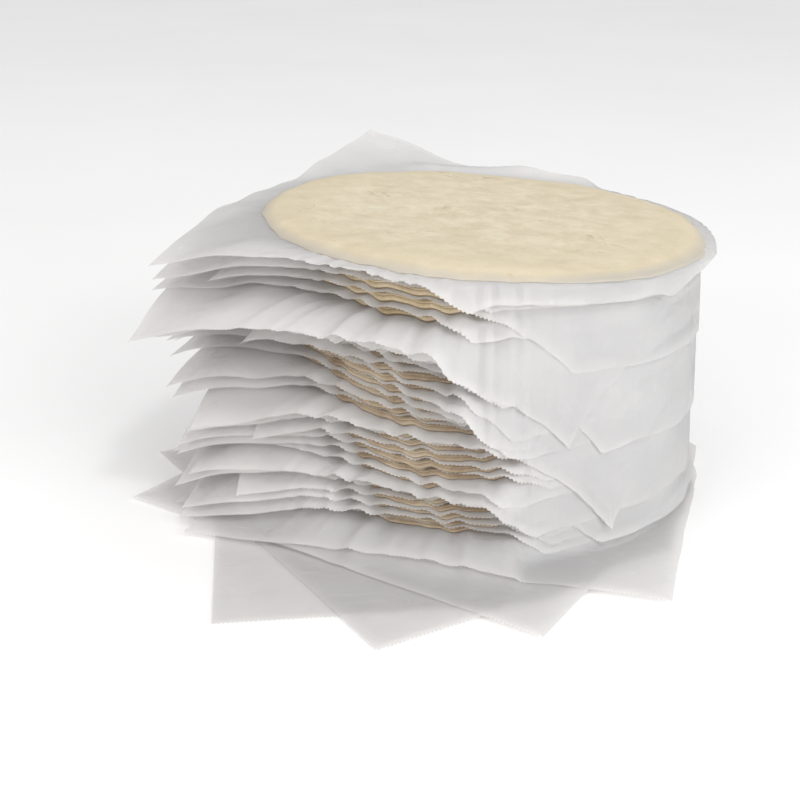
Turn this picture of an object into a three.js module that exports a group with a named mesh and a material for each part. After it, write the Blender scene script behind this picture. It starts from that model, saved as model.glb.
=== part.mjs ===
// A stack of raw scallion pancakes, each lying on its own square of plastic film.
// Millimetres, +Z up. The origin is on the table under the middle of the stack,
// +X points to the right and -Y to the front. Directions are degrees from +X towards +Y.

import * as THREE from 'three';

const { lerp, smoothstep } = THREE.MathUtils;
const DEGREE = Math.PI / 180;

// One layer of the stack
const LAYERS = 30;
const DOUGH_THICKNESS = 2.98;
const FILM_THICKNESS = 0.35;
const CLEARANCE = 0.35;
const PITCH = DOUGH_THICKNESS + FILM_THICKNESS + 2 * CLEARANCE;
const STACK_HEIGHT = LAYERS * PITCH;

// Pancakes
const PANCAKE_RADIUS = 88.6;
const TOP_PANCAKE_RADIUS = 95;
const RADIUS_SPREAD = 0.7;
const PANCAKE_SHIFT = 0.5;
const OUTLINE_WAVE = 0.6;
const RIM_ROUNDING = 1.8;
const TOP_RINGS = [0.35, 0.68, 0.9];
const TOP_RELIEF = 0.3;

// Films: squares whose overhang starts to fall where the pancakes end
const FILM_SIDE = 206;
const BEND_RADIUS = 93;
const FRONT_CORNER = { bottom: 304, top: 292 };
const TURN_SPREAD = 6;
const SET_BACK = { left: 11.5, right: 8 };
const SHIFT_SPREAD = 4;
const OPEN = 99;
const BOTTOM_FILMS = [
  { corner: 235, x: -12, y: -28, fold: OPEN },
  { corner: 260, x: -8, y: -19, fold: OPEN },
  { corner: 284, x: -10, y: -10, fold: OPEN },
];
const PLACED_FILMS = {
  3: { corner: 301, left: -4, right: -4, fold: OPEN },
  7: { corner: 306, left: 14, right: -14, fold: 24 },
  9: { corner: 298, left: 6, right: -2, fold: 20 },
  13: { corner: 304, left: 14, right: -24, fold: 34 },
  15: { corner: 301.5, left: 7, right: -1, fold: OPEN },
  18: { corner: 284, left: 13, right: 6, fold: 20 },
  19: { corner: 280, left: 14, right: 6, fold: 20 },
  20: { corner: 286, left: 12, right: 6, fold: 20 },
  21: { corner: 300, left: 11, right: -28, fold: 38 },
  23: { corner: 292, left: 4, right: 8, fold: 14 },
  24: { corner: 295, left: -3, right: 10, fold: 24 },
  25: { corner: 298, left: -9, right: 14, fold: OPEN },
  26: { corner: 290, left: 9, right: 8, fold: 8 },
  27: { corner: 296, left: 11, right: -18, fold: 28 },
  28: { corner: 296, left: 9, right: 8, fold: 6 },
  29: { corner: 294, left: 0, right: 2, fold: 11 },
};
const FRONT_FOLD = 10;
const RIGHT_FOLD = { bottom: 8, above: 28 };
const RIGHT_LEADERS = [7, 13, 21, 27];
const FOLD_WIDTH = { full: 18, leader: 45, none: 62, loose: 45 };

// How the layers settle: a lean to the right and a dip at the front that grow up the stack
const TOP_LEAN = 5.2;
const DIP_DEPTH = 9;
const DIP_DIRECTION = 260;
const DIP_HALF_WIDTH = 52;
const RIPPLE = 0.5;
const RIPPLE_RISE = 9;

// How the overhang falls: a steep veil at the front right, loose flaps at the left and back
const VEIL = { direction: 340, full: [42, 55], none: [60, 82], slope: 7, round: 3 };
const FLAP = { topSlope: 0.3, addedSlope: 0.5, round: 18 };
const BACK = { direction: 108, halfWidth: 80, addedSlope: 0.5 };
const TOP_FILM_LIFT = { direction: 110, full: 25, none: 75, slope: -0.38 };
const TOP_FILM_OUT = { direction: 5, full: 30, none: 60, reach: 3, addedReach: 3 };
const TABLE_STEP = 0.7;
const LANDING_SHARPNESS = 3;
const TUCK = { direction: 20, full: 35, none: 85, spare: 3, loose: 45 };

// Splitting into triangles: directions of the facets, and distances past the rim where they end
const RAYS = 16;
const RAY_STEP = 360 / RAYS;
const BENDS = [0, 4.2, 11.3, 88];
const TOP_PANCAKE_RAYS = 2 * RAYS;
const LEAST_REACH = -5;
const MARCH = 0.5;
const SNAP = 2.5;
const SAME_POINT = 1e-3;
const ON_LINE = 1e-6;
const LEAST_COSINE = 1e-9;

// Plain colours
const FILM_COLOUR = 0xe4e6e8;
const FILM_OPACITY = 0.55;
const DOUGH_COLOUR = 0xe0d4bc;

// A draw between -1 and 1 that is the same on every run
function draw(layer, kind) {
  const wave = Math.sin(layer * 12.9898 + kind * 78.233) * 43758.5453;
  return 2 * (wave - Math.floor(wave)) - 1;
}

// 1 near a direction, falling to 0 away from it
function lobe(angle, direction, full, none) {
  const turn = Math.abs(((angle - direction) % 360 + 540) % 360 - 180);
  return 1 - smoothstep(turn, full, none);
}

function filmLevel(layer) {
  return FILM_THICKNESS / 2 + layer * PITCH;
}

// Height at the rim of the layer that has this height at the middle
function rimHeight(angle, height) {
  const share = Math.max(0, height - FILM_THICKNESS / 2) / STACK_HEIGHT;
  const lean = TOP_LEAN * share * Math.cos(angle * DEGREE);
  const dip = DIP_DEPTH * Math.sin(Math.PI * share) * lobe(angle, DIP_DIRECTION, 0, DIP_HALF_WIDTH);
  const ripple = RIPPLE * Math.min(1, 4 * share) * Math.sin(3 * angle * DEGREE + height / RIPPLE_RISE);
  return height - lean - dip + ripple;
}

// Free fall of the overhang at a distance past the rim, seen from above
function freeFall(layer, angle, reach) {
  const share = layer / (LAYERS - 1);
  const veil = lobe(angle, VEIL.direction, lerp(...VEIL.full, share), lerp(...VEIL.none, share));
  const back = lobe(angle, BACK.direction, 0, BACK.halfWidth);
  const flap = FLAP.topSlope + FLAP.addedSlope * (1 - share * share) + BACK.addedSlope * back;
  const round = lerp(FLAP.round, VEIL.round, veil);
  let slope = lerp(flap, VEIL.slope, veil);
  let past = reach;
  if (layer === LAYERS - 1) {
    const lift = lobe(angle, TOP_FILM_LIFT.direction, TOP_FILM_LIFT.full, TOP_FILM_LIFT.none);
    const out = lobe(angle, TOP_FILM_OUT.direction, TOP_FILM_OUT.full, TOP_FILM_OUT.none);
    slope = lerp(slope, TOP_FILM_LIFT.slope, lift);
    past = Math.max(0, reach - TOP_FILM_OUT.reach - TOP_FILM_OUT.addedReach * out);
  }
  return slope * (Math.hypot(past, round) - round);
}

// Height of a film past the rim: it falls freely until it lies on the table or the films there
function overhangHeight(layer, angle, reach) {
  const rim = rimHeight(angle, filmLevel(layer));
  const room = rim - FILM_THICKNESS / 2 - layer * TABLE_STEP;
  const fall = freeFall(layer, angle, reach);
  if (fall <= 0 || room <= 0) return rim - Math.min(fall, Math.max(room, 0));
  const power = LANDING_SHARPNESS;
  return rim - (fall * room) / (fall ** power + room ** power) ** (1 / power);
}

// Upper and lower point of a film where a ray crosses a bend.
// The upright thickness follows the gentler of the two falls that meet there.
function bendPoints(layer, ray, bend) {
  const heightAt = (index) => overhangHeight(layer, ray * RAY_STEP, BENDS[index]);
  const fallFrom = (index) => (
    Math.abs(heightAt(index + 1) - heightAt(index)) / (BENDS[index + 1] - BENDS[index])
  );
  const inner = bend === 0 ? 0 : fallFrom(bend - 1);
  const outer = bend === BENDS.length - 1 ? inner : fallFrom(bend);
  const half = (FILM_THICKNESS / 2) * Math.hypot(1, Math.min(inner, outer));
  const plan = planPoint(ray * RAY_STEP, BEND_RADIUS + BENDS[bend]);
  return { upper: plan.clone().setZ(heightAt(bend) + half), lower: plan.setZ(heightAt(bend) - half) };
}

function planPoint(angle, distance) {
  return new THREE.Vector3(distance * Math.cos(angle * DEGREE), distance * Math.sin(angle * DEGREE), 0);
}

// Where a direction cuts the chord between two rays: the lower ray and the share of the chord
function onChord(angle) {
  const ray = Math.floor(angle / RAY_STEP);
  const past = Math.sin((angle - ray * RAY_STEP) * DEGREE);
  const left = Math.sin(((ray + 1) * RAY_STEP - angle) * DEGREE);
  return { ray, share: past / (past + left) };
}

// Where each film lies: its middle, the direction of its front corner and the overhang left by that corner's
// fold, if any. The middle is set back squarely from the sides to the left and right of the front corner.
function filmPlace(layer) {
  if (layer < BOTTOM_FILMS.length) return BOTTOM_FILMS[layer];
  const share = layer / (LAYERS - 1);
  const { corner, left, right, fold } = PLACED_FILMS[layer] ?? {
    corner: lerp(FRONT_CORNER.bottom, FRONT_CORNER.top, share) + TURN_SPREAD * draw(layer, 1),
    left: SET_BACK.left + SHIFT_SPREAD * draw(layer, 2),
    right: SET_BACK.right + SHIFT_SPREAD * draw(layer, 3),
    fold: FRONT_FOLD,
  };
  const { x, y } = planPoint(corner + 135, left).add(planPoint(corner - 135, right));
  return { corner, x, y, fold };
}

// Distance from the axis to the flat film's edge in a direction
function flatDistance(place, angle) {
  const half = FILM_SIDE / 2;
  const distances = [45, 135].map((side) => {
    const normal = (place.corner + side) * DEGREE;
    const along = Math.cos(angle * DEGREE - normal);
    const offset = place.x * Math.cos(normal) + place.y * Math.sin(normal);
    return (half + Math.sign(along) * offset) / Math.max(Math.abs(along), LEAST_COSINE);
  });
  return Math.min(...distances);
}

// Directions of the four corners, seen from the axis, from the front corner on
function cornerAngles(place) {
  const diagonal = FILM_SIDE / Math.SQRT2;
  return [0, 90, 180, 270].map((turn) => {
    const direction = (place.corner + turn) * DEGREE;
    const x = place.x + diagonal * Math.cos(direction);
    const y = place.y + diagonal * Math.sin(direction);
    return (Math.atan2(y, x) / DEGREE + 360) % 360;
  });
}

// How far a film reaches past the rim, seen from above: its overhang laid along the fall
function filmReach(layer, angle, overhang) {
  if (overhang <= 0) return Math.max(overhang, LEAST_REACH);
  let reach = 0;
  let length = 0;
  let height = overhangHeight(layer, angle, 0);
  while (length < overhang && reach < BENDS.at(-1) - MARCH) {
    reach += MARCH;
    const next = overhangHeight(layer, angle, reach);
    length += Math.hypot(MARCH, next - height);
    height = next;
  }
  return reach;
}

// Overhang that stays in sight: on the right, what would reach the table is tucked under the stack.
// Most front corners and all right ones are folded under their film.
function visibleOverhang(layer, angle, overhang) {
  const limits = [overhang];
  const tucked = lobe(angle, TUCK.direction, TUCK.full, TUCK.none);
  if (tucked > 0) limits.push(filmLevel(layer) + TUCK.spare + TUCK.loose * (1 - tucked));
  const { corner, fold } = filmPlace(layer);
  const rightFold = layer < BOTTOM_FILMS.length ? RIGHT_FOLD.bottom : RIGHT_FOLD.above;
  const frontWidth = RIGHT_LEADERS.includes(layer) ? FOLD_WIDTH.leader : FOLD_WIDTH.full;
  const folds = [[corner, fold, frontWidth], [corner + 90, rightFold, FOLD_WIDTH.full]];
  for (const [direction, kept, width] of folds) {
    const folded = lobe(angle, direction, width, FOLD_WIDTH.none);
    if (folded > 0) limits.push(kept + FOLD_WIDTH.loose * (1 - folded));
  }
  return Math.min(...limits);
}

// Points of a film's outline, seen from above: on the shared rays and in every corner that isn't folded
function filmOutline(layer) {
  const place = filmPlace(layer);
  const [front, , back, left] = cornerAngles(place);
  const unfolded = place.fold === OPEN ? [front, back, left] : [back, left];
  const corners = unfolded.map((sharp) => {
    const nearest = Math.round(sharp / RAY_STEP) * RAY_STEP;
    return { sharp, angle: Math.abs(sharp - nearest) < SNAP ? nearest % 360 : sharp };
  });
  const shared = Array.from({ length: RAYS }, (_, ray) => ({ angle: ray * RAY_STEP }));
  const plain = shared.filter(({ angle }) => !corners.some((corner) => corner.angle === angle));
  return [...plain, ...corners].sort((a, b) => a.angle - b.angle).map(({ angle, sharp = angle }) => {
    const overhang = visibleOverhang(layer, angle, flatDistance(place, sharp) - BEND_RADIUS);
    const distance = BEND_RADIUS + filmReach(layer, angle, overhang);
    return { ray: Math.floor(angle / RAY_STEP), point: planPoint(angle, distance) };
  });
}

// Triangles between two neighbouring rays, from the middle of a film outwards.
// Every film is cut from the same ones, so that the films lie in each other without touching.
function filmFacets(layer, ray) {
  const level = filmLevel(layer);
  const middle = {
    upper: new THREE.Vector3(0, 0, level + FILM_THICKNESS / 2),
    lower: new THREE.Vector3(0, 0, level - FILM_THICKNESS / 2),
  };
  const [near, far] = [ray, ray + 1].map((index) => BENDS.map((_, bend) => bendPoints(layer, index, bend)));
  const facets = [[middle, near[0], far[0]]];
  for (let bend = 1; bend < BENDS.length; bend += 1) {
    facets.push([near[bend - 1], near[bend], far[bend]], [near[bend - 1], far[bend], far[bend - 1]]);
  }
  return facets;
}

// Part of a polygon that lies to the left of the line between two points, seen from above
function leftPart(polygon, from, to) {
  const side = ({ upper }) => {
    const area = (to.x - from.x) * (upper.y - from.y) - (to.y - from.y) * (upper.x - from.x);
    return Math.abs(area) < ON_LINE ? 0 : area;
  };
  const kept = [];
  polygon.forEach((point, index) => {
    const next = polygon[(index + 1) % polygon.length];
    const [here, there] = [side(point), side(next)];
    if (here >= 0) kept.push(point);
    if (here * there < 0) {
      const share = here / (here - there);
      kept.push({
        upper: point.upper.clone().lerp(next.upper, share),
        lower: point.lower.clone().lerp(next.lower, share),
      });
    }
  });
  return kept;
}

// Closed solid from the triangles of a sheet, each corner an upper and a lower point
function sheetGeometry(triangles) {
  const points = [];
  const known = new Map();
  const indexOf = (point) => {
    const key = point.toArray().map((value) => Math.round(value / SAME_POINT)).join();
    if (!known.has(key)) known.set(key, points.push(point) - 1);
    return known.get(key);
  };
  const faces = [];
  const edges = new Map();
  for (const corners of triangles) {
    const upper = corners.map((corner) => indexOf(corner.upper));
    const lower = corners.map((corner) => indexOf(corner.lower));
    if (new Set(upper).size < 3) continue;
    faces.push(...upper, ...lower.toReversed());
    upper.forEach((from, side) => {
      const next = (side + 1) % 3;
      const to = upper[next];
      if (!edges.delete(`${to},${from}`)) edges.set(`${from},${to}`, [from, to, lower[side], lower[next]]);
    });
  }
  for (const [from, to, below, belowNext] of edges.values()) {
    faces.push(to, from, below, to, below, belowNext);
  }
  const geometry = new THREE.BufferGeometry().setFromPoints(points);
  geometry.setIndex(faces);
  geometry.computeVertexNormals();
  return geometry;
}

function filmGeometry(layer) {
  const middle = new THREE.Vector3();
  const outline = filmOutline(layer);
  const triangles = [];
  outline.forEach(({ ray, point }, index) => {
    const next = outline[(index + 1) % outline.length].point;
    for (const facet of filmFacets(layer, ray)) {
      const wedge = leftPart(leftPart(facet, middle, point), next, middle);
      const polygon = leftPart(wedge, point, next);
      for (let corner = 1; corner + 1 < polygon.length; corner += 1) {
        triangles.push([polygon[0], polygon[corner], polygon[corner + 1]]);
      }
    }
  });
  return sheetGeometry(triangles);
}

// Height of a layer's flat middle, which is a fan of planes between the rays
function middleHeight(height, angle, radius) {
  const chord = onChord(angle % 360);
  const chordRadius = BEND_RADIUS * Math.cos(RAY_STEP / 2 * DEGREE)
    / Math.cos((angle % 360 - (chord.ray + 0.5) * RAY_STEP) * DEGREE);
  const before = rimHeight(chord.ray * RAY_STEP, height);
  const after = rimHeight((chord.ray + 1) * RAY_STEP, height);
  return lerp(height, lerp(before, after, chord.share), radius / chordRadius);
}

function pancakeOutline(layer, angle) {
  const radius = layer === LAYERS - 1 ? TOP_PANCAKE_RADIUS : PANCAKE_RADIUS;
  const wave = OUTLINE_WAVE * Math.sin(2 * angle * DEGREE + 3 * draw(layer, 5))
    + OUTLINE_WAVE * Math.sin(5 * angle * DEGREE + 3 * draw(layer, 6)) / 2;
  const shift = PANCAKE_SHIFT * Math.cos(angle * DEGREE - 3 * draw(layer, 7));
  return radius + RADIUS_SPREAD * draw(layer, 4) + wave + shift;
}

// Closed surface through loops of points, from a top pole to a bottom pole
function loftGeometry(topPole, loops, bottomPole) {
  const count = loops[0].length;
  const points = [topPole, ...loops.flat(), bottomPole];
  const at = (loop, ray) => 1 + loop * count + ray % count;
  const faces = [];
  for (let ray = 0; ray < count; ray += 1) {
    faces.push(0, at(0, ray), at(0, ray + 1));
    faces.push(points.length - 1, at(loops.length - 1, ray + 1), at(loops.length - 1, ray));
    for (let loop = 0; loop + 1 < loops.length; loop += 1) {
      faces.push(at(loop, ray), at(loop + 1, ray), at(loop + 1, ray + 1));
      faces.push(at(loop, ray), at(loop + 1, ray + 1), at(loop, ray + 1));
    }
  }
  const geometry = new THREE.BufferGeometry().setFromPoints(points);
  geometry.setIndex(faces);
  geometry.computeVertexNormals();
  return geometry;
}

function pancakeGeometry(layer) {
  const isTop = layer === LAYERS - 1;
  const count = isTop ? TOP_PANCAKE_RAYS : RAYS;
  const base = filmLevel(layer) + FILM_THICKNESS / 2 + CLEARANCE;
  const middle = base + DOUGH_THICKNESS / 2;
  const crown = base + DOUGH_THICKNESS;
  const point = (angle, radius, height) => new THREE.Vector3(
    radius * Math.cos(angle * DEGREE),
    radius * Math.sin(angle * DEGREE),
    middleHeight(height, angle, radius),
  );
  const relief = (angle, share) => TOP_RELIEF * (Math.sin(3 * angle * DEGREE + 7 * share) - 1);
  const rings = isTop ? TOP_RINGS : [];
  const loops = Array.from({ length: rings.length + 3 }, () => []);
  for (let ray = 0; ray < count; ray += 1) {
    const angle = (ray * 360) / count;
    const radius = pancakeOutline(layer, angle);
    const flat = radius - RIM_ROUNDING;
    rings.forEach((share, ring) => {
      loops[ring].push(point(angle, share * flat, crown + relief(angle, share)));
    });
    const [shoulder, rim, foot] = loops.slice(rings.length);
    shoulder.push(point(angle, flat, crown));
    rim.push(point(angle, radius, middle));
    foot.push(point(angle, flat, base));
  }
  return loftGeometry(new THREE.Vector3(0, 0, crown), loops, new THREE.Vector3(0, 0, base));
}

const stack = new THREE.Group();
for (let layer = 0; layer < LAYERS; layer += 1) {
  const number = String(layer + 1).padStart(2, '0');
  const film = new THREE.Mesh(
    filmGeometry(layer),
    new THREE.MeshStandardMaterial({
      color: FILM_COLOUR, roughness: 0.35, metalness: 0, transparent: true, opacity: FILM_OPACITY,
    }),
  );
  film.name = `film_${number}`;
  const pancake = new THREE.Mesh(
    pancakeGeometry(layer),
    new THREE.MeshStandardMaterial({ color: DOUGH_COLOUR, roughness: 0.7, metalness: 0 }),
  );
  pancake.name = `pancake_${number}`;
  stack.add(film, pancake);
}

export default stack;
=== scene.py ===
import math

import bpy
import numpy as np
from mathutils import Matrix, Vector


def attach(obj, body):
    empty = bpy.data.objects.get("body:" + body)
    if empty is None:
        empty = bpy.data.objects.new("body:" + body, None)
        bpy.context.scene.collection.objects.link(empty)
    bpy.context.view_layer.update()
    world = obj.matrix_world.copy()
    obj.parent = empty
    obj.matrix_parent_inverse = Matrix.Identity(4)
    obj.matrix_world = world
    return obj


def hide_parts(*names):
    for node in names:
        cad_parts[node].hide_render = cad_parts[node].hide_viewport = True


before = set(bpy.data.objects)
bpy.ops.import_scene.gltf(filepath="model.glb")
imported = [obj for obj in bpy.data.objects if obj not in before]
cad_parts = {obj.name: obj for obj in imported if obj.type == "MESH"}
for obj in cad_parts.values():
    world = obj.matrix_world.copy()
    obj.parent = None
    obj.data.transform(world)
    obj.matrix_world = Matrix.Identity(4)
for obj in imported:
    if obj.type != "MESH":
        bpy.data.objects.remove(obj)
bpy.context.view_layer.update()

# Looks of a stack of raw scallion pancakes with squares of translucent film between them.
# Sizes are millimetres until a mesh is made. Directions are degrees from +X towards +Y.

METRE = 0.001
SMALLEST = 1e-6

# Repeatable draws: each kind gives every layer a value of its own
DRAW_HASH = {"layer": 12.9898, "kind": 78.233, "size": 43758.5453}
DRAW_KINDS = {
    "turn": 1, "left": 2, "right": 3, "radius": 4, "oval": 5,
    "bulge": 6, "shift": 7, "wave": 8, "thinning": 9, "uneven": 10,
}

# One layer of the stack. Its level follows from the solids' film, which is thicker than the film here
LAYERS = 30
TOP_LAYER = LAYERS - 1
DOUGH_THICKNESS = 3.5
DOUGH_GAP = 0.05
FILM_THICKNESS = 0.06
CAD_FILM_THICKNESS = 0.35
PITCH = 4.03
STACK_HEIGHT = LAYERS * PITCH

# Pancakes. A rim's profile runs from the top to the underside, by inset and share of the thickness
PANCAKE_RADIUS = 88.2
TOP_PANCAKE_RADIUS = 95
RADIUS_SPREAD = 0.7
PANCAKE_SHIFT = 0.5
OUTLINE_WAVES = ((0.6, 2, "oval"), (0.3, 5, "bulge"))
OUTLINE_START = 3
RIM_UNEVEN = ((0.8, 4), (0.4, 9), (0.35, 17), (0.3, 29), (0.2, 47))
UNEVEN_START = 9
RIM_THINNING = 0.25
RIM_PROFILE = (
    (8, 1.0), (5, 0.93), (2.5, 0.82), (1.1, 0.68), (0.8, 0.6), (1.4, 0.52),
    (0.7, 0.44), (0.1, 0.32), (0, 0.2), (0.4, 0.05), (1.5, 0),
)
TOP_RIM_PROFILE = (
    (16, 1.0), (10, 0.9), (6, 0.74), (3, 0.5), (1.5, 0.33), (0.6, 0.19), (0.15, 0.08), (0, 0.03), (0.3, 0)
)
PANCAKE_RAYS = 240
PANCAKE_RINGS = (0.5, 0.8)
TOP_RAYS = 288
TOP_RINGS = tuple(np.linspace(0.04, 0.985, 30))
TOP_RELIEF = ((0.16, 3, 0.05), (0.1, 7, 0.11), (0.06, 12, 0.19))
RELIEF_ACROSS = {"step": 1.3, "start": 2}

# Films: squares whose overhang starts to fall where the pancakes end. Left and right say how far a film is
# set back from its front left and front right side, and fold how much of its front corner stays in sight
FILM_SIDE = 206
CORNER_TO_SIDE = 45
CORNER_TO_CORNER = 90
BEND_RADIUS = 93
FRONT_CORNER = {"bottom": 304, "top": 292}
TURN_SPREAD = 6
SET_BACK = {"left": 11.5, "right": 8}
SHIFT_SPREAD = 4
OPEN = 99
PLACED_FILMS = {
    3: {"corner": 301, "left": -4, "right": -4, "fold": OPEN},
    7: {"corner": 306, "left": 14, "right": -14, "fold": 24},
    9: {"corner": 298, "left": 6, "right": -2, "fold": 20},
    13: {"corner": 304, "left": 14, "right": -24, "fold": 34},
    15: {"corner": 301.5, "left": 7, "right": -1, "fold": OPEN},
    18: {"corner": 284, "left": 13, "right": 6, "fold": 20},
    19: {"corner": 280, "left": 14, "right": 6, "fold": 20},
    20: {"corner": 286, "left": 12, "right": 6, "fold": 20},
    21: {"corner": 300, "left": 11, "right": -28, "fold": 38},
    23: {"corner": 292, "left": 4, "right": 8, "fold": 14},
    24: {"corner": 295, "left": -3, "right": 10, "fold": 24},
    25: {"corner": 298, "left": -9, "right": 14, "fold": OPEN},
    26: {"corner": 290, "left": 9, "right": 8, "fold": 8},
    27: {"corner": 296, "left": 11, "right": -18, "fold": 28},
    28: {"corner": 296, "left": 9, "right": 8, "fold": 6},
    29: {"corner": 294, "left": 0, "right": 2, "fold": 11},
}
FRONT_FOLD = 10
RIGHT_FOLD = {"bottom": 8, "above": 28}
RIGHT_LEADERS = (7, 13, 21, 27)
FOLD_WIDTH = {"full": 18, "leader": 45, "none": 62, "loose": 45}
BOTTOM_FILMS = (
    {"corner": 235, "x": -12, "y": -28, "fold": OPEN, "notched": 0},
    {"corner": 260, "x": -8, "y": -19, "fold": OPEN, "notched": 0},
    {"corner": 284, "x": -10, "y": -10, "fold": OPEN, "notched": 1},
)
LEAST_REACH = -5
TOOTH_PITCH = 1.7
TOOTH_DEPTH = 0.8
PLAIN_PITCH = 4.4
INNER_RADIUS = 84
RINGS = 15
# The pale band along each film's hem is a painted highlight, full on the notched sides and weaker on the
# plain ones
HEM_HIGHLIGHT_WIDTH = 5
PLAIN_SIDE_HIGHLIGHT = 0.2

# How the layers settle: a lean to the right, a dip at the front, and small waves near the rim.
# A row of waves holds their size, their count around the stack, the height over which they turn, and a start
TOP_LEAN = 5.2
DIP = {"direction": 260, "full": 0, "none": 52, "depth": 9}
RIPPLE = {"size": 0.5, "count": 3, "rise": 9, "growth": 4}
RUFFLES = ((0.5, 8, 10.0, 0.4), (0.35, 15, 7.5, 2.1), (0.25, 27, 6.0, 4.4))
RUFFLE_START = 62
RUFFLE_GROWTH = 6
CRUMPLES = ((0.6, 41, 4.6, 1.3), (0.4, 58, 3.4, 3.7))
CRUMPLE_PLACE = {"direction": 255, "full": 15, "none": 42}
CALM_TOP = {"share": 0.75, "from": 0.85, "to": 0.97}

# How the overhang falls: a steep veil at the front right, loose flaps at the left and back
VEIL = {"direction": 340, "full": (42, 55), "none": (60, 82), "slope": 50, "round": 3}
FLAP = {"top_slope": 0.3, "added_slope": 0.5, "round": 18}
BACK = {"direction": 108, "full": 0, "none": 80, "added_slope": 0.5}
TOP_FILM_LIFT = {"direction": 110, "full": 25, "none": 75, "slope": -0.38}
TOP_FILM_OUT = {"direction": 5, "full": 30, "none": 60, "reach": 3, "added_reach": 3}
TOP_FILM_RIDGE = {"direction": 82, "full": 14, "none": 45, "reach": 9, "width": 4, "height": 3.5}
TABLE_STEP = 0.7
LANDING_SHARPNESS = 3
TUCK = {"direction": 20, "full": 35, "none": 85, "spare": 3, "loose": 45}
GROUPS = ((0.8, 1.35, 1.2, 3), (1.0, 4.2, 1.5, 5))
GROUP_LOOPS = 2
GROUP_GROWTH = 4
DRAPES = ((1.3, 7, 26, 0.6), (0.9, 13, 19, 2.9), (0.5, 24, 15, 5.1))
DRAPE_START = 22
CREASES = ((0.3, 83, 12, 1.7), (0.22, 127, 9, 4.0))
CREASE_START = 6
OWN_WAVE = {"size": 0.1, "count": 9, "spread": 4}
CALM_VEIL = 0.85
CALM_TABLE = {"height": 14, "least": 0.06}
MARCH = 0.5
FARTHEST = 110

# Colours, in linear light
BLACK = (0.0, 0.0, 0.0)
WHITE = (1.0, 1.0, 1.0)
FILM_MILK = ((0.3, (0.806, 0.812, 0.826)), (0.7, (0.875, 0.88, 0.89)))
# Painted highlight: the pale colour along a film's hem
FILM_HEM_HIGHLIGHT = (0.93, 0.93, 0.93)
FILM_THROUGH = (0.88, 0.866, 0.852)
FILM_ALPHA = 0.55
FILM_GLOW = 0.46
TOP_DOUGH = ((0.3, (0.56, 0.475, 0.33)), (0.5, (0.66, 0.585, 0.43)), (0.7, (0.75, 0.68, 0.53)))
YELLOW_DOUGH = (0.635, 0.545, 0.385)
YELLOW_PLACE = ((0.55, BLACK), (0.95, (0.55, 0.55, 0.55)))
EDGE_DOUGH = (0.48, 0.445, 0.38)
EDGE_PLACE = ((0.94, BLACK), (1.0, WHITE))
# Painted shade: thin dark lines in the small creases of the top pancake, left out in some places
CREASE_SHADE_DOUGH = (0.42, 0.33, 0.2)
CREASE_SHADE_PLACE = ((0.478, BLACK), (0.494, (0.5, 0.5, 0.5)), (0.51, BLACK))
CREASE_SHADE_FREE_PLACE = ((0.37, BLACK), (0.42, WHITE))
# Painted shade: the stacked pancakes' rims are darker copies of the dough, darkest on the lower layers, and a
# dark band paints shade in the groove of each rim and on its underside
DEEP_SHADE_RIM_DOUGH = ((0.3, (0.25, 0.185, 0.122)), (0.5, (0.38, 0.303, 0.212)), (0.72, (0.5, 0.433, 0.325)))
LIGHT_SHADE_RIM_DOUGH = ((0.3, (0.4, 0.31, 0.18)), (0.5, (0.58, 0.48, 0.32)), (0.72, (0.7, 0.62, 0.47)))
FIRST_LIGHT_SHADE_LAYER = 25
GROOVE_SHADE_DOUGH = (0.17, 0.11, 0.06)
MOSTLY = (0.75, 0.75, 0.75)
GROOVE_SHADE_PLACE = ((0.1, MOSTLY), (0.25, BLACK), (0.44, BLACK), (0.52, MOSTLY), (0.6, BLACK))
FLOOR_COLOURS = ((0.3, (0.94, 0.94, 0.94)), (0.7, (0.97, 0.97, 0.97)))

# Surfaces: noise in waves per metre, bumps in metres, and the roughness at low and high noise
NOISE_RANGE = (0.3, 0.7)
FILM_CLOUD = {"scale": 38, "detail": 2}
FILM_CRINKLE = {"scale": 60, "detail": 2, "distortion": 1.0}
FILM_CRINKLE_BUMP = {"strength": 0.4, "distance": 0.002}
FILM_ROUGHNESS = (0.08, 0.3)
FILM_GLOSS = 0.5
RIM_MOTTLE = {"scale": 60, "detail": 5, "roughness": 0.65, "distortion": 0.5}
RIM_GRAIN = {"scale": 130, "detail": 3}
RIM_GRAIN_BUMP = {"strength": 0.35, "distance": 0.001}
RIM_ROUGHNESS = (0.5, 0.7)
RIM_GLOSS = 0.35
TOP_MOTTLE = {"scale": 85, "detail": 8, "roughness": 0.75, "distortion": 0.3}
TOP_MOTTLE_BUMP = {"strength": 0.25, "distance": 0.0006}
TOP_SWELL = {"scale": 45, "detail": 3}
TOP_SWELL_BUMP = {"strength": 0.25, "distance": 0.0012}
TOP_CREASE_SHADE = {"scale": 26, "detail": 3, "distortion": 1.2}
TOP_CREASE_SHADE_FREE = {"scale": 34}
TOP_ROUGHNESS = (0.6, 0.85)
TOP_GLOSS = 0.25
TOP_DEPTH = {"weight": 0.15, "radius": (0.006, 0.004, 0.002)}
FLOOR_CLOUD = {"scale": 3}
FLOOR_ROUGHNESS = 0.8
MIX_SOCKETS = {"below": 6, "above": 7, "result": 2}

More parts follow.
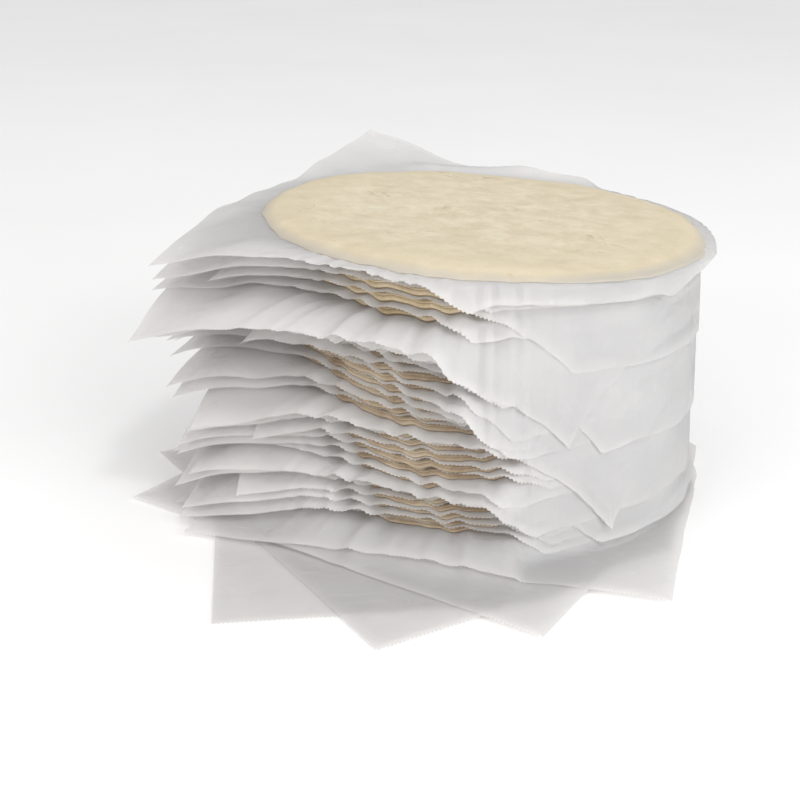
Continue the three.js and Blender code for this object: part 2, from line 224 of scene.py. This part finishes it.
# Stage and camera, in metres apart from the camera's lens and sensor
FLOOR_SIZE = 16
FLOOR_DROP = 0.0004
SKY = (1.0, 1.0, 1.0)
SKY_STRENGTH = 0.78
LAMPS = (
    {"name": "key", "place": (1.4, -1.4, 0.6), "size": 1.6, "power": 28, "colour": WHITE},
    {"name": "fill", "place": (-1.1, -1.1, 0.25), "size": 1.4, "power": 12, "colour": (1.0, 0.92, 0.9)},
    {"name": "glint", "place": (0.5, -1.0, 1.6), "size": 0.2, "power": 5, "colour": WHITE},
)
CAMERA_PLACE = (0.0, -0.56, 0.2503)
CAMERA_PAN = math.radians(3.67)
CAMERA_TILT = math.radians(21.21)
CAMERA_LENS = 59.13
CAMERA_SENSOR = 36
CAMERA_NEAR = 0.01
TRANSPARENT_BOUNCES = 8
BOUNCES = 8


def draw(layer, kind, step=0):
    """A draw between -1 and 1 that is the same on every run."""
    number = DRAW_KINDS[kind] + step
    wave = math.sin(layer * DRAW_HASH["layer"] + number * DRAW_HASH["kind"]) * DRAW_HASH["size"]
    return 2 * (wave - math.floor(wave)) - 1


def smoothstep(value, low, high):
    share = np.clip((value - low) / (high - low), 0, 1)
    return share * share * (3 - 2 * share)


def blend(low, high, share):
    return low + (high - low) * share


def lobe(angle, direction, full, none):
    """1 near a direction, falling to 0 away from it."""
    turn = np.abs((angle - direction + 180) % 360 - 180)
    return 1 - smoothstep(turn, full, none)


def within(angle, place):
    """Share of a place, which has a direction and a full and an outer half width."""
    return lobe(angle, place["direction"], place["full"], place["none"])


def waves(rows, angle, height):
    """Sum of waves around the stack that turn with the height."""
    return sum(
        size * np.sin(np.radians(count * angle) + height / rise + start)
        for size, count, rise, start in rows
    )


def film_level(layer):
    return CAD_FILM_THICKNESS / 2 + layer * PITCH


def rim_height(angle, height):
    """Height at the rim of the layer that has this height at the middle, and the ruffle to add to it."""
    share = np.maximum(0, height - CAD_FILM_THICKNESS / 2) / STACK_HEIGHT
    lean = TOP_LEAN * share * np.cos(np.radians(angle))
    dip = DIP["depth"] * np.sin(np.pi * share) * within(angle, DIP)
    wave = np.sin(np.radians(RIPPLE["count"] * angle) + height / RIPPLE["rise"])
    ripple = RIPPLE["size"] * np.minimum(1, RIPPLE["growth"] * share) * wave
    ruffle = waves(RUFFLES, angle, height) + within(angle, CRUMPLE_PLACE) * waves(CRUMPLES, angle, height)
    near_top = smoothstep(share, CALM_TOP["from"], CALM_TOP["to"])
    calm = np.minimum(1, RUFFLE_GROWTH * share) * (1 - CALM_TOP["share"] * near_top)
    return height - lean - dip + ripple, ruffle * calm


def settled(angle, radius, height):
    """Height of a point inside the stack on the layer that has this height at the middle."""
    rim, ruffle = rim_height(angle, height)
    share = np.minimum(radius / BEND_RADIUS, 1)
    return blend(height, rim, share) + ruffle * smoothstep(radius, RUFFLE_START, BEND_RADIUS)


def veil_share(layer, angle):
    share = layer / TOP_LAYER
    return lobe(angle, VEIL["direction"], blend(*VEIL["full"], share), blend(*VEIL["none"], share))


def overhang_height(layer, angle, reach):
    """Height of a film past the rim: it falls freely until it lies on the table or the films there."""
    level = film_level(layer)
    share = layer / TOP_LAYER
    veil = veil_share(layer, angle)
    grouped = sum(
        size * np.sin(level / rise + turn * np.sin(np.radians(angle * GROUP_LOOPS) + phase) + phase)
        for size, rise, turn, phase in GROUPS
    )
    start = settled(angle, BEND_RADIUS, level)
    start = start + grouped * (1 - veil) * smoothstep(reach, 0, DRAPE_START) * min(1, layer / GROUP_GROWTH)
    flap = FLAP["top_slope"] + FLAP["added_slope"] * (1 - share**2)
    flap = flap + BACK["added_slope"] * within(angle, BACK)
    slope = blend(flap, VEIL["slope"], veil)
    if layer == TOP_LAYER:
        slope = blend(slope, TOP_FILM_LIFT["slope"], within(angle, TOP_FILM_LIFT))
        across = (reach - TOP_FILM_RIDGE["reach"]) / TOP_FILM_RIDGE["width"]
        start = start + TOP_FILM_RIDGE["height"] * within(angle, TOP_FILM_RIDGE) * np.exp(-(across**2))
        added = TOP_FILM_OUT["added_reach"] * within(angle, TOP_FILM_OUT)
        reach = np.maximum(0, reach - TOP_FILM_OUT["reach"] - added)
    rounding = blend(FLAP["round"], VEIL["round"], veil)
    fall = slope * (np.hypot(reach, rounding) - rounding)
    room = np.maximum(start - CAD_FILM_THICKNESS / 2 - layer * TABLE_STEP, SMALLEST)
    down = np.maximum(fall, SMALLEST)
    power = LANDING_SHARPNESS
    landed = down * room / (down**power + room**power) ** (1 / power)
    return start - np.where(fall > 0, landed, fall)


def film_place(layer):
    """Where a film lies: its middle, the direction and fold of its front corner, its first notched side."""
    if layer < len(BOTTOM_FILMS):
        return BOTTOM_FILMS[layer]
    share = layer / TOP_LAYER
    corner = blend(FRONT_CORNER["bottom"], FRONT_CORNER["top"], share)
    loose = {
        "corner": corner + TURN_SPREAD * draw(layer, "turn"),
        "left": SET_BACK["left"] + SHIFT_SPREAD * draw(layer, "left"),
        "right": SET_BACK["right"] + SHIFT_SPREAD * draw(layer, "right"),
        "fold": FRONT_FOLD,
    }
    place = PLACED_FILMS.get(layer, loose)
    away = CORNER_TO_CORNER + CORNER_TO_SIDE
    left, right = math.radians(place["corner"] + away), math.radians(place["corner"] - away)
    return {
        "corner": place["corner"],
        "x": place["left"] * math.cos(left) + place["right"] * math.cos(right),
        "y": place["left"] * math.sin(left) + place["right"] * math.sin(right),
        "fold": place["fold"],
        "notched": 1,
    }


def visible_distance(layer, angle, distance):
    """Flat distance that stays in sight: what is tucked under the stack or folded under isn't seen."""
    tucked = within(angle, TUCK)
    most = film_level(layer) + TUCK["spare"] + TUCK["loose"] * (1 - tucked)
    limited = np.where(tucked > 0, np.minimum(distance, BEND_RADIUS + most), distance)
    place = film_place(layer)
    right_fold = RIGHT_FOLD["bottom" if layer < len(BOTTOM_FILMS) else "above"]
    front_width = FOLD_WIDTH["leader" if layer in RIGHT_LEADERS else "full"]
    corners = ((0, place["fold"], front_width), (CORNER_TO_CORNER, right_fold, FOLD_WIDTH["full"]))
    for turn, kept, width in corners:
        folded = lobe(angle, place["corner"] + turn, width, FOLD_WIDTH["none"])
        most = kept + FOLD_WIDTH["loose"] * (1 - folded)
        limited = np.where(folded > 0, np.minimum(limited, BEND_RADIUS + most), limited)
    return np.maximum(limited, BEND_RADIUS + LEAST_REACH)


def film_outline(layer):
    """Directions and flat distances of the points along a film's edge, and of the tooth after each or NaN."""
    place = film_place(layer)
    middle = np.array([place["x"], place["y"]])
    half = FILM_SIDE / 2
    edge, tips = [], []
    for side in range(4):
        normal = math.radians(place["corner"] + CORNER_TO_SIDE + CORNER_TO_CORNER * side)
        across = np.array([math.cos(normal), math.sin(normal)])
        along = np.array([-across[1], across[0]])
        notched = side % 2 == place["notched"]
        count = round(FILM_SIDE / (TOOTH_PITCH if notched else PLAIN_PITCH))
        step = FILM_SIDE / count
        for index in range(count):
            depth = TOOTH_DEPTH if notched and index > 0 else 0
            run = index * step - half
            edge.append(middle + (half - depth) * across + run * along)
            tip = middle + half * across + (run + step / 2) * along
            tips.append(tip if notched else np.full(2, np.nan))
    edge, tips = np.array(edge), np.array(tips)
    angles = np.degrees(np.arctan2(edge[:, 1], edge[:, 0])) % 360
    order = np.argsort(angles)
    edge, tips, angles = edge[order], tips[order], angles[order]
    tip_angles = np.degrees(np.arctan2(tips[:, 1], tips[:, 0])) % 360
    distances = visible_distance(layer, angles, np.hypot(edge[:, 0], edge[:, 1]))
    tip_distances = visible_distance(layer, tip_angles, np.hypot(tips[:, 0], tips[:, 1]))
    return angles, distances, tip_angles, tip_distances


def film_points(layer, angles, distances):
    """Points of a film that lie at these directions and distances from the axis when it is flat."""
    level = film_level(layer)
    column = angles[:, None]
    steps = np.arange(0, FARTHEST, MARCH)
    heights = overhang_height(layer, column, steps[None, :])
    strides = np.hypot(MARCH, np.diff(heights, axis=1))
    lengths = np.concatenate([np.zeros((len(angles), 1)), np.cumsum(strides, axis=1)], axis=1)
    slopes = -np.gradient(heights, MARCH, axis=1)
    over = np.maximum(distances - BEND_RADIUS, 0)
    reach = np.array([np.interp(row, length, steps) for row, length in zip(over, lengths)])
    slope = np.array([np.interp(row, steps, values) for row, values in zip(reach, slopes)])
    inside = distances <= BEND_RADIUS
    slope = np.where(inside, 0, slope)
    radius = np.where(inside, distances, BEND_RADIUS + reach)
    inner = settled(column, np.minimum(distances, BEND_RADIUS), level)
    height = np.where(inside, inner, overhang_height(layer, column, reach))
    lean = np.hypot(1, slope)
    own_count = OWN_WAVE["count"] + OWN_WAVE["spread"] * draw(layer, "wave")
    own = OWN_WAVE["size"] * PITCH / lean * np.sin(np.radians(column * own_count) + layer)
    calm = 1 - CALM_VEIL * veil_share(layer, column)
    drape = (waves(DRAPES, column, level) + own) * calm * smoothstep(over, 0, DRAPE_START)
    crease = waves(CREASES, column, level) * within(column, CRUMPLE_PLACE)
    lift = drape + crease * smoothstep(over, 0, CREASE_START)
    lift = lift * np.clip((height - layer * TABLE_STEP) / CALM_TABLE["height"], CALM_TABLE["least"], 1)
    radius = radius + lift * slope / lean
    height = height + lift / lean
    turn = np.radians(column)
    return np.stack([radius * np.cos(turn), radius * np.sin(turn), height], axis=-1)


def point_normals(points, faces):
    """Mean normals of the triangles and squares that meet at each point."""
    normals = np.zeros_like(points)
    for face in faces:
        corners = points[face]
        area = np.cross(corners[:, 1] - corners[:, 0], corners[:, -1] - corners[:, 0])
        for index in range(face.shape[1]):
            np.add.at(normals, face[:, index], area)
    return normals / np.linalg.norm(normals, axis=1)[:, None]


def make_mesh(name, points, triangles, squares, edge_points):
    """Object with smooth faces and hard edges between the given points."""
    mesh = bpy.data.meshes.new(name)
    mesh.from_pydata((points * METRE).tolist(), [], triangles.tolist() + squares.tolist())
    mesh.update()
    mesh.shade_smooth()
    if len(edge_points):
        hard = np.zeros(len(points), bool)
        hard[edge_points] = True
        ends = np.empty(2 * len(mesh.edges), np.int32)
        mesh.edges.foreach_get("vertices", ends)
        sharp = mesh.attributes.new("sharp_edge", "BOOLEAN", "EDGE")
        sharp.data.foreach_set("value", hard[ends.reshape(-1, 2)].all(axis=1))
    piece = bpy.data.objects.new(name, mesh)
    bpy.context.collection.objects.link(piece)
    return piece


def add_values(piece, name, values):
    """Values at the points of a piece, for its material to read."""
    layer = piece.data.attributes.new(name, "FLOAT", "POINT")
    layer.data.foreach_set("value", values)


def thin_sheet(name, points, triangles, squares, loop):
    """Closed solid: a surface on each side of the points, and walls along the loop of edge points."""
    normals = point_normals(points, [triangles, squares])
    half = FILM_THICKNESS / 2
    both = np.concatenate([points + half * normals, points - half * normals])
    total = len(points)
    following = np.roll(loop, -1)
    walls = np.stack([following, loop, loop + total, following + total], axis=1)
    squares = np.concatenate([squares, squares[:, ::-1] + total, walls])
    triangles = np.concatenate([triangles, triangles[:, ::-1] + total])
    return make_mesh(name, both, triangles, squares, np.concatenate([loop, loop + total]))


def hem_highlight_values(distances, toothed):
    """Share of the painted highlight along the hem at each point of a film, highest along its notched sides.
    """
    count = len(distances)
    inset = (distances[:, None] - INNER_RADIUS) * (1 - np.linspace(0, 1, RINGS))
    inset = np.concatenate([[INNER_RADIUS], inset.ravel(), np.zeros(len(toothed))])
    highlight = np.full((count, 1), PLAIN_SIDE_HIGHLIGHT)
    highlight[toothed] = 1
    highlight = np.broadcast_to(highlight, (count, RINGS)).ravel()
    highlight = np.concatenate([[0], highlight, np.ones(len(toothed))])
    return highlight * (1 - smoothstep(inset, 0, HEM_HIGHLIGHT_WIDTH))


def film_mesh(layer):
    """Closed thin sheet with notched sides."""
    angles, distances, tip_angles, tip_distances = film_outline(layer)
    count = len(angles)
    last = RINGS - 1
    rows = INNER_RADIUS + (distances[:, None] - INNER_RADIUS) * np.linspace(0, 1, RINGS)
    grid = film_points(layer, angles, rows)
    toothed = np.flatnonzero(~np.isnan(tip_angles))
    tips = film_points(layer, tip_angles[toothed], tip_distances[toothed][:, None])[:, 0]
    middle = np.array([[0, 0, film_level(layer)]])
    points = np.concatenate([middle, grid.reshape(-1, 3), tips])

    def at(rays, ring):
        return 1 + rays * RINGS + ring

    ray = np.arange(count)
    following = (ray + 1) % count
    near, far = ray[:, None], following[:, None]
    ring = np.arange(last)
    squares = np.stack([at(near, ring), at(near, ring + 1), at(far, ring + 1), at(far, ring)], axis=-1)
    tip_index = 1 + count * RINGS + np.arange(len(toothed))
    fan = np.stack([np.zeros(count, int), at(ray, 0), at(following, 0)], axis=1)
    teeth = np.stack([at(toothed, last), tip_index, at(following[toothed], last)], axis=1)
    triangles = np.concatenate([fan, teeth])
    tip_of = dict(zip(toothed.tolist(), tip_index.tolist()))
    loop = []
    for index in range(count):
        loop.append(at(index, last))
        if index in tip_of:
            loop.append(tip_of[index])
    name = f"film_{layer + 1:02d}_look"
    piece = thin_sheet(name, points, triangles, squares.reshape(-1, 4), np.array(loop))
    # Painted highlight along the hem, on both faces of the sheet
    add_values(piece, "hem_highlight", np.tile(hem_highlight_values(distances, toothed), 2))
    return piece


def pancake_outline(layer, angle):
    """Distance of a pancake's uneven rim from the axis."""
    turn = np.radians(angle)
    radius = TOP_PANCAKE_RADIUS if layer == TOP_LAYER else PANCAKE_RADIUS
    wave = sum(
        size * np.sin(count * turn + OUTLINE_START * draw(layer, kind))
        for size, count, kind in OUTLINE_WAVES
    )
    shift = PANCAKE_SHIFT * np.cos(turn - OUTLINE_START * draw(layer, "shift"))
    uneven = sum(
        size * np.sin(count * turn + UNEVEN_START * draw(layer, "uneven", count))
        for size, count in RIM_UNEVEN
    )
    return radius + RADIUS_SPREAD * draw(layer, "radius") + wave + shift + uneven


def relief_at(distance, turn):
    """Low swellings of the top pancake, never above its crown."""
    x, y = distance * np.cos(turn), distance * np.sin(turn)
    relief = 0
    for size, start, step in TOP_RELIEF:
        across = np.sin(RELIEF_ACROSS["step"] * step * y + RELIEF_ACROSS["start"] * start)
        relief = relief + size * (np.sin(step * x + start) * across - 1)
    return relief


def pancake_mesh(layer):
    """Soft disc that thins out towards an uneven rim."""
    is_top = layer == TOP_LAYER
    count = TOP_RAYS if is_top else PANCAKE_RAYS
    rings = TOP_RINGS if is_top else PANCAKE_RINGS
    profile = TOP_RIM_PROFILE if is_top else RIM_PROFILE
    thinning = 0 if is_top else RIM_THINNING * abs(draw(layer, "thinning"))
    thickness = DOUGH_THICKNESS * (1 - thinning)
    angle = np.arange(count) * 360 / count
    turn = np.radians(angle)
    radius = pancake_outline(layer, angle)
    flat = radius - profile[0][0]
    base = film_level(layer) + FILM_THICKNESS / 2 + DOUGH_GAP
    loops = []
    for share in rings:
        relief = relief_at(share * flat, turn) if is_top else 0
        loops.append((share * flat, base + thickness + relief))
    for inset, share in profile:
        relief = relief_at(flat, turn) * share if is_top else 0
        loops.append((radius - inset, base + thickness * share + relief))
    for share in PANCAKE_RINGS[::-1]:
        loops.append((share * flat, np.full(count, base)))
    points = [np.array([[0, 0, base + thickness]])]
    for distance, height in loops:
        height = settled(angle, distance, height)
        points.append(np.stack([distance * np.cos(turn), distance * np.sin(turn), height], axis=1))
    points.append(np.array([[0, 0, base]]))
    points = np.concatenate(points)

    def at(loop, rays):
        return 1 + loop * count + rays

    ray = np.arange(count)
    following = (ray + 1) % count
    last = len(loops) - 1
    top = np.stack([np.zeros(count, int), at(0, ray), at(0, following)], axis=1)
    bottom = np.stack([np.full(count, len(points) - 1), at(last, following), at(last, ray)], axis=1)
    triangles = np.concatenate([top, bottom])
    loop = np.arange(last)[:, None]
    below = loop + 1
    squares = np.stack([at(loop, ray), at(below, ray), at(below, following), at(loop, following)], axis=-1)
    piece = make_mesh(f"pancake_{layer + 1:02d}_look", points, triangles, squares.reshape(-1, 4), [])
    add_values(piece, "outward", np.hypot(points[:, 0], points[:, 1]) / radius.mean())
    shares = [1] * len(rings) + [share for _, share in profile] + [0] * len(PANCAKE_RINGS)
    add_values(piece, "upward", np.concatenate([[1], np.repeat(shares, count), [0]]))
    return piece


def new_material(name):
    """Material with its node tree, its shader and the coordinates for its noise."""
    material = bpy.data.materials.new(name)
    material.use_nodes = True
    tree = material.node_tree
    place = tree.nodes.new("ShaderNodeTexCoord").outputs["Object"]
    return material, tree, tree.nodes["Principled BSDF"], place


def noise(tree, place, scale, detail=4, roughness=0.55, distortion=0.0):
    node = tree.nodes.new("ShaderNodeTexNoise")
    tree.links.new(place, node.inputs["Vector"])
    node.inputs["Scale"].default_value = scale
    node.inputs["Detail"].default_value = detail
    node.inputs["Roughness"].default_value = roughness
    node.inputs["Distortion"].default_value = distortion
    return node.outputs["Fac"]


def ramp(tree, value, stops):
    """Colour that follows a value through stops of position and colour."""
    node = tree.nodes.new("ShaderNodeValToRGB")
    elements = node.color_ramp.elements
    while len(elements) < len(stops):
        elements.new(0.5)
    for element, (position, colour) in zip(elements, stops):
        element.position = position
        element.color = (*colour, 1)
    tree.links.new(value, node.inputs["Fac"])
    return node.outputs["Color"]


def spread(tree, value, low, high):
    """Noise spread over the range from low to high."""
    node = tree.nodes.new("ShaderNodeMapRange")
    node.inputs["From Min"].default_value = NOISE_RANGE[0]
    node.inputs["From Max"].default_value = NOISE_RANGE[1]
    node.inputs["To Min"].default_value = low
    node.inputs["To Max"].default_value = high
    tree.links.new(value, node.inputs["Value"])
    return node.outputs["Result"]


def attribute(tree, name):
    node = tree.nodes.new("ShaderNodeAttribute")
    node.attribute_name = name
    return node.outputs["Fac"]


def mixed(tree, below, colour, share):
    """A colour laid over another by a share that varies over the surface."""
    node = tree.nodes.new("ShaderNodeMix")
    node.data_type = "RGBA"
    tree.links.new(share, node.inputs["Factor"])
    tree.links.new(below, node.inputs[MIX_SOCKETS["below"]])
    node.inputs[MIX_SOCKETS["above"]].default_value = (*colour, 1)
    return node.outputs[MIX_SOCKETS["result"]]


def bump(tree, height, strength, distance, before=None):
    node = tree.nodes.new("ShaderNodeBump")
    node.inputs["Strength"].default_value = strength
    node.inputs["Distance"].default_value = distance
    tree.links.new(height, node.inputs["Height"])
    if before:
        tree.links.new(before, node.inputs["Normal"])
    return node.outputs["Normal"]


def film_material():
    """Milky film that lets light through, with a painted highlight along its hem."""
    material, tree, shader, place = new_material("film")
    cloud = noise(tree, place, **FILM_CLOUD)
    tint = mixed(tree, ramp(tree, cloud, FILM_MILK), FILM_HEM_HIGHLIGHT, attribute(tree, "hem_highlight"))
    tree.links.new(tint, shader.inputs["Base Color"])
    tree.links.new(spread(tree, cloud, *FILM_ROUGHNESS), shader.inputs["Roughness"])
    crinkle = bump(tree, noise(tree, place, **FILM_CRINKLE), **FILM_CRINKLE_BUMP)
    tree.links.new(crinkle, shader.inputs["Normal"])
    shader.inputs["Alpha"].default_value = FILM_ALPHA
    shader.inputs["Specular IOR Level"].default_value = FILM_GLOSS
    through = tree.nodes.new("ShaderNodeBsdfTranslucent")
    through.inputs["Color"].default_value = (*FILM_THROUGH, 1)
    tree.links.new(crinkle, through.inputs["Normal"])
    both = tree.nodes.new("ShaderNodeMixShader")
    share, surface, inside = both.inputs
    share.default_value = FILM_GLOW
    tree.links.new(shader.outputs["BSDF"], surface)
    tree.links.new(through.outputs["BSDF"], inside)
    tree.links.new(both.outputs["Shader"], tree.nodes["Material Output"].inputs["Surface"])
    return material


def shaded_rim_dough_material(name, colours):
    """Mottled dough darkened as painted shade, with painted shade in the groove along the rim and on its
    underside.
    """
    material, tree, shader, place = new_material(name)
    mottle = noise(tree, place, **RIM_MOTTLE)
    # Painted shade in the rim's groove and on its underside
    groove_shade = ramp(tree, attribute(tree, "upward"), GROOVE_SHADE_PLACE)
    colour = mixed(tree, ramp(tree, mottle, colours), GROOVE_SHADE_DOUGH, groove_shade)
    tree.links.new(colour, shader.inputs["Base Color"])
    tree.links.new(spread(tree, mottle, *RIM_ROUGHNESS), shader.inputs["Roughness"])
    grain = bump(tree, noise(tree, place, **RIM_GRAIN), **RIM_GRAIN_BUMP)
    tree.links.new(grain, shader.inputs["Normal"])
    shader.inputs["Specular IOR Level"].default_value = RIM_GLOSS
    return material


def top_dough_material():
    """Mottled dough, yellower towards its dull edge, with painted shade in short thin creases here and there.
    """
    material, tree, shader, place = new_material("top_dough")
    mottle = noise(tree, place, **TOP_MOTTLE)
    colour = ramp(tree, mottle, TOP_DOUGH)
    outward = attribute(tree, "outward")
    colour = mixed(tree, colour, YELLOW_DOUGH, ramp(tree, outward, YELLOW_PLACE))
    colour = mixed(tree, colour, EDGE_DOUGH, ramp(tree, outward, EDGE_PLACE))
    # Painted shade in thin creases, kept away from some places
    crease_shade = ramp(tree, noise(tree, place, **TOP_CREASE_SHADE), CREASE_SHADE_PLACE)
    crease_shade_free = ramp(tree, noise(tree, place, **TOP_CREASE_SHADE_FREE), CREASE_SHADE_FREE_PLACE)
    colour = mixed(tree, colour, CREASE_SHADE_DOUGH, mixed(tree, crease_shade, BLACK, crease_shade_free))
    tree.links.new(colour, shader.inputs["Base Color"])
    tree.links.new(spread(tree, mottle, *TOP_ROUGHNESS), shader.inputs["Roughness"])
    wide = bump(tree, noise(tree, place, **TOP_SWELL), **TOP_SWELL_BUMP)
    fine = bump(tree, mottle, **TOP_MOTTLE_BUMP, before=wide)
    tree.links.new(fine, shader.inputs["Normal"])
    shader.inputs["Specular IOR Level"].default_value = TOP_GLOSS
    shader.inputs["Subsurface Weight"].default_value = TOP_DEPTH["weight"]
    shader.inputs["Subsurface Radius"].default_value = TOP_DEPTH["radius"]
    return material


def floor_material():
    material, tree, shader, place = new_material("floor")
    tint = ramp(tree, noise(tree, place, **FLOOR_CLOUD), FLOOR_COLOURS)
    tree.links.new(tint, shader.inputs["Base Color"])
    shader.inputs["Roughness"].default_value = FLOOR_ROUGHNESS
    return material


def build_stack():
    film = film_material()
    # Darker copies of the dough as painted shade on the rims, less of it on the upper layers
    deep_shade_rim_dough = shaded_rim_dough_material("deep_shade_rim_dough", DEEP_SHADE_RIM_DOUGH)
    light_shade_rim_dough = shaded_rim_dough_material("light_shade_rim_dough", LIGHT_SHADE_RIM_DOUGH)
    top_dough = top_dough_material()
    doughs = [deep_shade_rim_dough] * FIRST_LIGHT_SHADE_LAYER + [light_shade_rim_dough] * (TOP_LAYER - FIRST_LIGHT_SHADE_LAYER)
    doughs.append(top_dough)
    for layer, dough in enumerate(doughs):
        number = f"{layer + 1:02d}"
        for piece, material, node, slot in (
            (film_mesh(layer), film, f"film_{number}", "film"),
            (pancake_mesh(layer), dough, f"pancake_{number}", "dough"),
        ):
            piece.data.materials.append(material)
            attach(piece, "root")
            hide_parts(node)


def build_stage():
    bpy.ops.mesh.primitive_plane_add(size=FLOOR_SIZE, location=(0, 0, -FLOOR_DROP))
    floor = bpy.context.object
    floor.name = "floor"
    floor.data.materials.append(floor_material())
    scene = bpy.context.scene
    world = bpy.data.worlds.new("sky")
    world.use_nodes = True
    background = world.node_tree.nodes["Background"]
    background.inputs["Color"].default_value = (*SKY, 1)
    background.inputs["Strength"].default_value = SKY_STRENGTH
    scene.world = world
    for row in LAMPS:
        lamp = bpy.data.lights.new(row["name"], "AREA")
        lamp.size = row["size"]
        lamp.energy = row["power"]
        lamp.color = row["colour"]
        lamp_object = bpy.data.objects.new(row["name"], lamp)
        lamp_object.location = row["place"]
        lamp_object.rotation_euler = (-Vector(row["place"])).to_track_quat("-Z", "Y").to_euler()
        scene.collection.objects.link(lamp_object)
    camera = bpy.data.cameras.new("camera")
    camera.lens = CAMERA_LENS
    camera.sensor_width = CAMERA_SENSOR
    camera.clip_start = CAMERA_NEAR
    camera_object = bpy.data.objects.new("camera", camera)
    camera_object.location = CAMERA_PLACE
    camera_object.rotation_euler = (math.pi / 2 - CAMERA_TILT, 0, CAMERA_PAN)
    scene.collection.objects.link(camera_object)
    scene.camera = camera_object
    scene.view_settings.view_transform = "Standard"
    scene.cycles.transparent_max_bounces = TRANSPARENT_BOUNCES
    scene.cycles.max_bounces = BOUNCES
    scene.cycles.diffuse_bounces = BOUNCES


build_stack()
build_stage()
